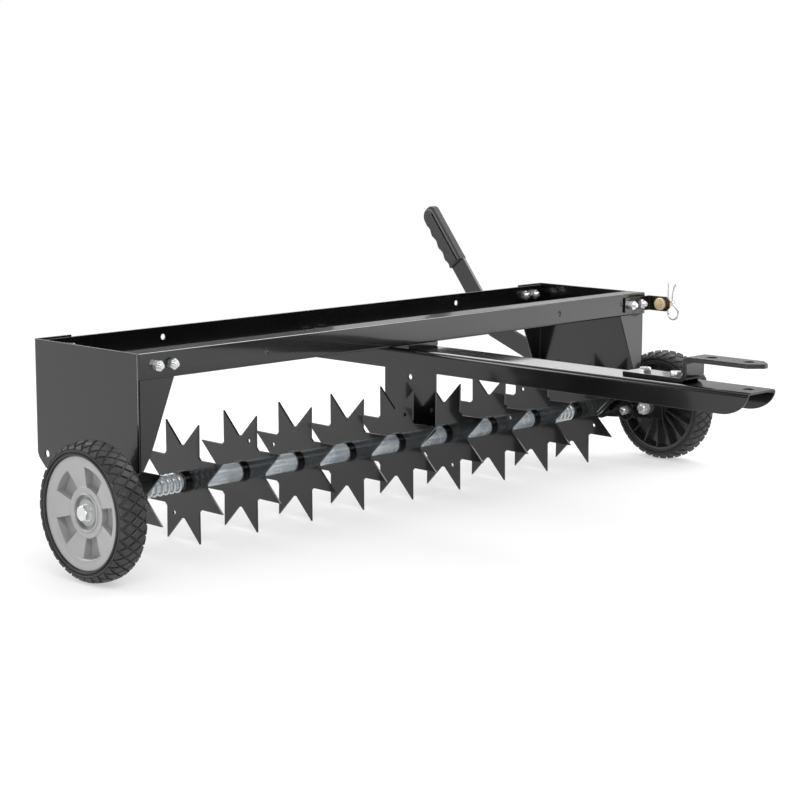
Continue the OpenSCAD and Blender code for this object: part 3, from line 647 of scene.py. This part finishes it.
FRAME_SETS = (("front_rail", "Y"), ("rear_rail", "Y"), ("hitch", "Z"), ("drawbar", "Z"),
              ("hanger", "Z"))
HEX_SETS = [row for row in FRAME_SETS if row[0] != "drawbar"]
END_IN = {"Y": 0.0085, "Z": 0.0115}  # where the threaded end starts, from the bolt's tip
LOW_HEAD = ((0.0, 0.0), (0.0084, 0.0), (0.0083, 0.0007), (0.0074, 0.0017), (0.0052, 0.0023),
            (0.0, 0.0024))
ROUND = 48  # steps round a turned fastener

fasten("frame_bolt_heads", head8, "frame", ZINC,
       [seats(f"{name}_bolts", "+" + axis, HIGH, -M8.head) for name, axis in HEX_SETS],
       [f"{name}_bolts" for name, _ in HEX_SETS])
low_head = source("head_low", turned(LOW_HEAD, ROUND))
fasten("drawbar_bolt_heads", low_head, "frame", ZINC,
       [seats("drawbar_bolts", "+Z", HIGH, -LOW_HEAD[-1][1])], ["drawbar_bolts"])
fasten("frame_nuts", nut8, "frame", ZINC,
       [seats(f"{name}_nuts", "-" + axis, HIGH) for name, axis in FRAME_SETS],
       [f"{name}_nuts" for name, _ in FRAME_SETS])
fasten("frame_bolt_ends", stud8, "frame", ZINC,
       [seats(f"{name}_bolts", "-" + axis, LOW, END_IN[axis]) for name, axis in FRAME_SETS])

LEVER_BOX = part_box("lift_lever")
ARM_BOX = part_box("right_arm")
ARM_IN, ARM_OUT = ARM_BOX[LOW][X], ARM_BOX[HIGH][X]
LEVER_IN = LEVER_BOX[LOW][X]
LEVER_END_IN = 0.003
fasten("lever_bolt_heads", head8, "lift", ZINC, [on_plane("lever_bolts", "+X", ARM_OUT)],
       ["lever_bolts"])
fasten("lever_nuts", nut8, "lift", ZINC, [on_plane("lever_bolts", "-X", LEVER_IN)])
fasten("lever_bolt_ends", stud8, "lift", ZINC,
       [on_plane("lever_bolts", "-X", LEVER_IN + LEVER_END_IN)])

HEAD_SEAT = 0.031  # of an axle bolt, from the wheel's inner side
SHANK_PAST = 0.0096  # how far the shank goes past the arm's inner face
HEAD_OUT = WHEEL_IN + HEAD_SEAT
SHANK = HEAD_OUT - ARM_IN + SHANK_PAST
AXLE_END_IN = 0.0005
WASHER_T = 0.0015
WASHER = ((0.0062, 0.0), (0.011, 0.0), (0.0112, 0.0003), (0.011, WASHER_T), (0.0062, WASHER_T))
fasten("axle_heads", head12, "lift", BRIGHT, axle_pair("axle_bolt", HEAD_OUT),
       ["left_axle_bolt", "right_axle_bolt"])
shank12 = source("shank_m12", turned(
    [(0.0, 0.0), (M12.radius, 0.0), (M12.radius, SHANK), (0.0, SHANK)], ROUND))
fasten("axle_shanks", shank12, "lift", BRIGHT, axle_pair("axle_bolt", HEAD_OUT - SHANK))
fasten("axle_nuts", nut12, "lift", BRIGHT, axle_pair("axle_nut", ARM_IN, inward=True),
       ["left_axle_nut", "right_axle_nut"])
fasten("axle_ends", stud12, "lift", BRIGHT,
       axle_pair("axle_nut", ARM_IN + AXLE_END_IN, inward=True))
fasten("shaft_nuts", nut_shaft, "lift", ZINC, [
    ([Vector((sign * ARM_OUT, SHAFT_Y, SHAFT_Z))], outside(sign)) for _, sign in SIDES],
    ["shaft_end_nuts"])
washer12 = source("washer_m12", turned(WASHER, ROUND))
fasten("washers_m12", washer12, "lift", BRIGHT, axle_pair("axle_bolt", HEAD_OUT - WASHER_T))

# ---------------------------------------------------------------- tine springs
WIRE = 0.0016  # radius
CURLS, CURL_STEPS, WIRE_SIDES = 9, 40, 12
COIL_GAP = 0.0008  # between the wire and the shaft
COIL_END = 0.0001


def helix(node):
    """The middle line of a spring on the shaft, as long as its CAD node."""
    low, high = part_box(node)
    radius = SHAFT_BOX[HIGH][Z] - SHAFT_Z + WIRE + COIL_GAP
    start, end = low[X] + WIRE, high[X] - WIRE
    steps = CURL_STEPS * CURLS
    points = [(low[X] + COIL_END, SHAFT_Y + radius, SHAFT_Z)]
    for i in range(steps + 1):
        a = 2 * math.pi * i / CURL_STEPS
        points.append((start + (end - start) * (i / steps),
                       SHAFT_Y + radius * math.cos(a), SHAFT_Z + radius * math.sin(a)))
    points.append((high[X] - COIL_END, SHAFT_Y + radius, SHAFT_Z))
    return points


for side, _ in SIDES:
    coil = sweep(f"{side}_spring_wire", helix(f"{side}_tine_spring"), WIRE, WIRE_SIDES, BRIGHT)
    dress(coil, "lift", "bright_zinc", f"{side}_tine_spring")

# ---------------------------------------------------------------- lever grip
LEG_TILT, LEG = math.radians(20.65), 0.3068  # the lever's lower leg
GRIP_TILT, NECK = math.radians(51.8), 0.1344  # its upper leg, up to the grip
GRIP_L, GRIP_T, LEVER_W = 0.114, 0.017, 0.0315
FOOT_BACK, FOOT_UP = 0.0444, 0.00024  # the lever's foot, from the front rail and the shaft
FOOT = (FRONT_Y + FOOT_BACK, SHAFT_Z + FOOT_UP)
BEND = (FOOT[0] + LEG * math.cos(LEG_TILT), FOOT[1] + LEG * math.sin(LEG_TILT))
ALONG = (math.cos(GRIP_TILT), math.sin(GRIP_TILT))
ACROSS = (math.sin(GRIP_TILT), -math.cos(GRIP_TILT))
GRIP_FOOT = (BEND[0] + NECK * ALONG[0], BEND[1] + NECK * ALONG[1])
GRIP_X = middle(LEVER_BOX, X)
GRIP_WALL, PALM_IN = 0.0006, 0.002
FINGERS = LEVER_W / 2 + GRIP_WALL  # from the middle line to the finger side
PALM = FINGERS - PALM_IN  # and to the palm side

WAVE_FROM, WAVE_SPAN, WAVE_STEPS = 0.006, GRIP_L - 0.030, 52
WAVE_H, WAVE_PITCH, WAVE_TOP = 0.0014, 0.0250, 0.0196
SWELL, SWELL_END = 0.0006, 0.012
NOSE_R, NOSE_DROP, CORNER_R = 0.0165, 0.0158, 0.0094  # the grip's round end
NOSE_ARC, CORNER_ARC = range(75, 4, -7), range(-5, -91, -7)  # degrees
PALM_STEPS = 12
ROLL_R, ROLL_STEPS = 0.0036, 7  # the rounding of the side faces


def on_grip(x, s, t):
    """A point x across the machine, s along the grip and t toward the fingers."""
    return (x, GRIP_FOOT[0] + s * ALONG[0] + t * ACROSS[0],
            GRIP_FOOT[1] + s * ALONG[1] + t * ACROSS[1])


def arc(centre, radius, degrees):
    """Points of an arc at the given angles."""
    return [(centre[0] + radius * math.cos(math.radians(d)),
             centre[1] + radius * math.sin(math.radians(d))) for d in degrees]


def grip_outline():
    """The grip's profile seen from the side: along the grip, then toward the fingers."""
    pts = [(0, -PALM), (0, 0), (0, FINGERS)]
    for i in range(WAVE_STEPS + 1):
        s = WAVE_FROM + WAVE_SPAN * i / WAVE_STEPS
        wave = WAVE_H * math.cos(2 * math.pi * (s - WAVE_TOP) / WAVE_PITCH)
        pts.append((s, FINGERS + (SWELL + wave) * min(1.0, s / SWELL_END)))
    nose = (GRIP_L - NOSE_R, FINGERS - NOSE_DROP)
    corner = (GRIP_L - CORNER_R, -PALM + CORNER_R)
    pts += arc(nose, NOSE_R, NOSE_ARC)
    pts += arc(corner, CORNER_R, CORNER_ARC)
    pts += [(corner[0] * (1 - i / PALM_STEPS), -PALM) for i in range(1, PALM_STEPS)]
    return np.array(pts)


def grip_mesh():
    """The outline carried across the grip's thickness, drawn in round both side faces."""
    line = grip_outline()
    along = np.roll(line, -1, axis=0) - np.roll(line, 1, axis=0)
    along /= np.linalg.norm(along, axis=1)[:, None]
    inward = np.stack([along[:, 1], -along[:, 0]], axis=1)
    if np.mean(np.sum(inward * (line.mean(axis=0) - line), axis=1)) < 0:
        inward = -inward
    half = [(ROLL_R - ROLL_R * math.cos(t), GRIP_T / 2 - ROLL_R + ROLL_R * math.sin(t))
            for t in np.linspace(0, math.pi / 2, ROLL_STEPS + 1)]
    rows = [(inset, -x) for inset, x in reversed(half)] + half
    verts = [on_grip(GRIP_X + x, s, t) for inset, x in rows for s, t in line + inward * inset]
    n = len(line)
    faces = skin(len(rows), n, flip=True)
    faces.append(tuple(range(n)))
    faces.append(tuple(reversed(range((len(rows) - 1) * n, len(rows) * n))))
    return verts, faces


RIB_SECTION = 7  # points of a rib's half round section
RIB_FROM, RIB_TO, RIB_SINK = 0.002, GRIP_L - 0.0145, 0.0004
RIB_STEPS, TIP_STEPS = 20, 12
TIP_TURN_R, TIP_TURN = 0.0098, (0.15, 1.75)  # the rib's turn back, from and to in radians


def grip_rib(first, half, tall, tip):
    """A long rib on each side face, first from the palm edge; with a tip it turns back."""
    path = [(s, -PALM + first) for s in np.linspace(RIB_FROM, RIB_TO, RIB_STEPS)]
    if tip:
        path += [(RIB_TO + TIP_TURN_R * math.sin(t),
                  -PALM + first + TIP_TURN_R * (1 - math.cos(t)))
                 for t in np.linspace(*TIP_TURN, TIP_STEPS)]
    verts, faces = [], []
    for _, sign in SIDES:
        start = len(verts)
        for k, (s, t) in enumerate(path):
            ahead, behind = path[min(k + 1, len(path) - 1)], path[max(k - 1, 0)]
            along = Vector((ahead[0] - behind[0], ahead[1] - behind[1])).normalized()
            for q in np.linspace(0, math.pi, RIB_SECTION):
                off, lift = half * math.cos(q), tall * math.sin(q)
                verts.append(on_grip(GRIP_X + sign * (GRIP_T / 2 - RIB_SINK + lift),
                                     s - along.y * off, t + along.x * off))
        faces += skin(len(path), RIB_SECTION, start, flip=True)
        faces.append(tuple(range(start, start + RIB_SECTION)))
        faces.append(tuple(reversed(range(len(verts) - RIB_SECTION, len(verts)))))
    return verts, faces


grip = outward(solid("grip_body", *grip_mesh(), GRIP, angle=40))
dress(grip, "lift", "black_plastic", "lever_grip")
# the ribs stand proud in a lighter plastic than the grip, which paints a highlight along them
ribs = grip_rib(first=0.0042, half=0.0016, tall=0.0020, tip=True)
dress(outward(solid("grip_ribs", *ribs, RIB_HIGHLIGHT, angle=60)), "lift", "black_plastic")
# a low near-black strip beside each rib, painted shade that stands in for a groove
slit_shades = grip_rib(first=0.0076, half=0.0018, tall=0.0009, tip=False)
dress(outward(solid("grip_slits", *slit_shades, SLIT_SHADE, angle=60)), "lift", "black_plastic")

# ---------------------------------------------------------------- tyres
WHEEL_R = (TYRE_BOX[HIGH][Z] - TYRE_BOX[LOW][Z]) / 2
TYRE_W = WHEEL_OUT - WHEEL_IN
RIM_R = 0.0715
GROOVE = 0.0025
GROUND_R = WHEEL_R - GROOVE  # the ground of the tread, at the tyre's middle
TYRE_STEPS, HUB_STEPS = 144, 96
# the sidewall's rings and the shoulder: (radius past the rim or the ground, depth from the side)
SIDEWALL = (
    (0.0, 0.0045), (0.0, 0.0006), (0.0006, 0.0), (0.0019, 0.0), (0.0025, 0.0008),
    (0.0030, 0.0026), (0.0044, 0.0026), (0.0049, 0.0008), (0.0055, 0.0002), (0.0069, 0.0002),
    (0.0075, 0.0010), (0.0080, 0.0030), (0.0098, 0.0036))
SHOULDER = ((-0.0030, 0.0054), (-0.0014, 0.0085), (-0.0004, 0.0130), (0.0, 0.0180))
# half of the tread's curve: (distance from the tyre's middle, drop)
CROWN = ((0.0, 0.0), (0.003, 0.0), (0.008, 0.0004), (0.0125, 0.0014), (0.016, 0.0034),
         (0.0185, 0.0068))


def tyre_section():
    """The tyre's section, from one bead over the tread to the other."""
    half = [(RIM_R + r, x) for r, x in SIDEWALL] + [(GROUND_R + r, x) for r, x in SHOULDER]
    return half + [(r, TYRE_W - x) for r, x in reversed(half)]


def crown(v):
    """Point and normal on the tread's ground, at distance v from the middle along it."""
    a = abs(v)
    for (x0, d0), (x1, d1) in zip(CROWN, CROWN[1:]):
        step = math.hypot(x1 - x0, d1 - d0)
        if a <= step or (x1, d1) == CROWN[-1]:
            break
        a -= step
    t = a / step
    normal = Vector((d1 - d0, x1 - x0)).normalized()
    return (math.copysign(x0 + (x1 - x0) * t, v), GROUND_R - (d0 + (d1 - d0) * t),
            math.copysign(normal.x, v), normal.y)


BLOCKS_ROUND = 36
# rows of blocks: (distance from the tyre's middle, half a block's width)
BLOCK_ROWS = ((-0.0196, 0.0086), (-0.0098, 0.0098), (0.0, 0.0098), (0.0098, 0.0098),
              (0.0196, 0.0086))
# levels of a block: (share of its full size, height over the ground)
BLOCK_LEVELS = ((0.86, -0.0006), (0.83, GROOVE * 0.7), (0.70, GROOVE))
BLOCK_LIMIT = 0.0215
DIAMOND = ((1, 0), (0, 1), (-1, 0), (0, -1))
SIDE_POINTS = 5


def over_ground(v, height, angle):
    """A point over the tread's ground, at distance v from the middle and an angle round."""
    x, r, nx, nr = crown(v)
    rr = r + nr * height
    return x + nx * height, rr * math.cos(angle), rr * math.sin(angle)


def tread_blocks():
    """Diamond blocks in rows round the tread, with worn edges."""
    verts, faces = [], []
    pitch = 2 * math.pi / BLOCKS_ROUND
    ring = 4 * SIDE_POINTS
    for row, (v0, reach) in enumerate(BLOCK_ROWS):
        for i in range(BLOCKS_ROUND):
            base = len(verts)
            u0 = (i + (row % 2) * 0.5) * pitch
            for inset, height in BLOCK_LEVELS:
                for k in range(ring):
                    corner, t = k // SIDE_POINTS, k % SIDE_POINTS / SIDE_POINTS
                    (ua, va), (ub, vb) = DIAMOND[corner], DIAMOND[(corner + 1) % 4]
                    du, dv = ua * (1 - t) + ub * t, va * (1 - t) + vb * t
                    v = max(-BLOCK_LIMIT, min(BLOCK_LIMIT, v0 + dv * reach * inset))
                    verts.append(over_ground(v, height, u0 + du * (pitch / 2) * inset))
            faces += skin(len(BLOCK_LEVELS), ring, base)
            top = len(verts)
            verts.append(over_ground(v0, GROOVE, u0))
            faces += [(top - ring + m, top - ring + (m + 1) % ring, top) for m in range(ring)]
    return verts, faces


def on_wheel(sign, verts):
    """Turned points set on a wheel's axle, with z outward from the wheel's inner side."""
    return [(sign * (WHEEL_IN + z), AXLE_Y + x, AXLE_Z + y) for x, y, z in verts]


def tyre(side, sign):
    """A tyre's body and its tread."""
    verts, faces = turned(tyre_section(), TYRE_STEPS)
    carcass = solid(f"{side}_tyre_body", on_wheel(sign, verts), faces, RUBBER, angle=28)
    dress(outward(carcass), f"{side}_wheel", "tyre_rubber", f"{side}_tyre")
    verts, faces = tread_blocks()
    tyre_x = sign * (WHEEL_IN + TYRE_W / 2)
    blocks = [(tyre_x + x, AXLE_Y + y, AXLE_Z + z) for x, y, z in verts]
    tread = solid(f"{side}_tyre_tread", blocks, faces, RUBBER, angle=30)
    dress(outward(tread), f"{side}_wheel", "tyre_rubber")


# the stepped seat round the axle bolt and the bead round it: (radius, depth from the inner side)
HUB_SEAT = (
    (0.02145, 0.0306), (0.0211, 0.0262), (0.0172, 0.0260), (0.0167, 0.0292), (0.0161, 0.0298),
    (0.0095, 0.0298), (0.0095, 0.0291), (0.0171, 0.0291), (0.0173, 0.0254), (0.02145, 0.0254))
HUB_BEAD = ((0.0216, 0.0310), (0.0216, 0.0322), (0.0224, 0.0331), (0.0238, 0.0331),
            (0.0247, 0.0322), (0.0250, 0.0310))


def hub_cup(side, sign):
    """The stepped seat and the bead inside the wheel cover's hub."""
    for piece, profile, angle in (("cup", HUB_SEAT, 30), ("bead", HUB_BEAD, 50)):
        verts, faces = turned(profile, HUB_STEPS)
        ring = solid(f"{side}_hub_{piece}", on_wheel(sign, verts), faces, GREY, angle)
        dress(outward(ring), f"{side}_wheel", "grey_plastic")


for side, sign in SIDES:
    tyre(side, sign)
for side, sign in SIDES:
    hub_cup(side, sign)

# ---------------------------------------------------------------- floor, light, camera
scene = bpy.context.scene
scene.view_settings.view_transform = "Standard"
FLOOR = 9.0  # half its width
PLAIN_LEVEL, MIRROR_LEVEL, WHITE_LEVEL = 0.52, 0.09, 1.0  # of the world


def floor():
    """Pale paper: white to the camera further off, and brighter to mirrors further off."""
    kit = material_kit("floor_paper")
    paper = kit.set(Base_Color=grey(0.9), Roughness=0.9, Specular_IOR_Level=0.1)
    coords = kit.coords()
    away = kit.node("ShaderNodeVectorMath", {"operation": "LENGTH"}, {0: coords}, out="Value")
    east = kit.node("ShaderNodeSeparateXYZ", {}, {0: coords}, out="X")
    camera_ray = kit.node("ShaderNodeLightPath", out="Is Camera Ray")
    glossy_ray = kit.node("ShaderNodeLightPath", out="Is Glossy Ray")
    white = kit.node("ShaderNodeEmission", {}, {"Color": grey(1.0), "Strength": 1.0})
    shine = away.band(0.2, 0.9) * 0.2 + east.band(0.3, 1.9) * 0.8 + 0.58
    shining = kit.node("ShaderNodeEmission", {}, {"Color": grey(1.0), "Strength": shine})
    plain = Val(kit, kit.tree.nodes["Principled BSDF"].outputs[0])
    seen = kit.blend((away.band(1.0, 2.4) * 0.5 + 0.5) * camera_ray, plain, white)
    output = kit.tree.nodes["Material Output"]
    kit.put(output.inputs["Surface"], kit.blend(glossy_ray, seen, shining))
    corners = [(-FLOOR, -FLOOR, 0), (FLOOR, -FLOOR, 0), (FLOOR, FLOOR, 0), (-FLOOR, FLOOR, 0)]
    obj = solid("floor", corners, [(0, 1, 2, 3)], paper, angle=30)


def backdrop():
    """White to the camera, dim to mirrors, and a plain level to all else."""
    kit = Kit(bpy.data.worlds.new("studio"))
    scene.world = kit.owner
    kit.tree.nodes.clear()
    plain, dim, white = (
        kit.node("ShaderNodeBackground", {}, {"Color": grey(1.0), "Strength": level})
        for level in (PLAIN_LEVEL, MIRROR_LEVEL, WHITE_LEVEL))
    camera_ray = kit.node("ShaderNodeLightPath", out="Is Camera Ray")
    glossy_ray = kit.node("ShaderNodeLightPath", out="Is Glossy Ray")
    output = kit.tree.nodes.new("ShaderNodeOutputWorld")
    surface = kit.blend(camera_ray, kit.blend(glossy_ray, plain, dim), white)
    kit.put(output.inputs["Surface"], surface)


floor()
backdrop()

# lamps and small cards: name, place, what it faces, width and height, watts
LAMPS = (
    ("key_box", (-1.6, -2.2, 2.6), (0, 0, 0.15), (2.4, 1.6), 60),
    ("top_box", (0.3, 0.4, 2.8), (0, 0, 0), (3.0, 2.0), 12),
    ("right_box", (2.0, -0.35, 2.3), (-0.3, 0, 0.28), (2.4, 2.0), 40))
CARDS = (
    ("far_card", (2.45, 1.55, 0.60), (0.1, -0.3, 0.26), (1.7, 0.36), 0.8),
    ("bar_card", (2.45, 1.735, 0.715), (0.0, -0.2, 0.24), (0.45, 0.16), 0.20),
    ("sky_card", (1.2, 1.8, 2.0), (-0.2, 0.0, 0.28), (2.4, 1.6), 36),
    ("rear_card", (-1.6, 2.1, 1.2), (0.0, 0.0, 0.15), (1.5, 1.5), 26),
    ("low_card", (-1.35, -0.13, 0.15), (-0.5, 0.0, 0.19), (0.26, 0.24), 1.3),
    ("horizon_card", (2.45, 3.1, 0.30), (-0.3, 0.0, 0.28), (1.3, 0.3), 1.0))


def lamp(name, where, target, size, watts):
    """A soft box that faces a target."""
    data = bpy.data.lights.new(name, "AREA")
    data.shape = "RECTANGLE"
    data.size, data.size_y = size
    data.energy = watts
    obj = placed(name, data)
    obj.location = where
    obj.rotation_euler = (Vector(target) - Vector(where)).to_track_quat("-Z", "Y").to_euler()
    return obj


for row in LAMPS:
    lamp(*row)
for row in CARDS:
    lamp(*row).visible_camera = False

# the camera fitted to the picture
CAM_AZ, CAM_PITCH, CAM_ROLL = math.radians(-45.84), math.radians(9.09), math.radians(0.10)
EYE = Vector((-2.0669, -1.9614 + FRONT_Y, 0.6172))
FOCAL_PX, PICTURE_PX = 2043.0, 800
SENSOR_MM, FAR_CLIP = 36.0, 60
cam_data = bpy.data.cameras.new("camera")
cam_data.sensor_width = SENSOR_MM
cam_data.lens = FOCAL_PX / PICTURE_PX * SENSOR_MM
cam_data.clip_end = FAR_CLIP
camera = placed("camera", cam_data)
scene.camera = camera
level = Vector((math.cos(CAM_AZ), math.sin(CAM_AZ), 0))
forward = Vector((-math.sin(CAM_AZ) * math.cos(CAM_PITCH), math.cos(CAM_AZ) * math.cos(CAM_PITCH),
                  -math.sin(CAM_PITCH)))
right = level * math.cos(CAM_ROLL) + level.cross(forward) * math.sin(CAM_ROLL)
up = right.cross(forward)
pose = Matrix((right, up, -forward)).transposed().to_4x4()
pose.translation = EYE
camera.matrix_world = pose
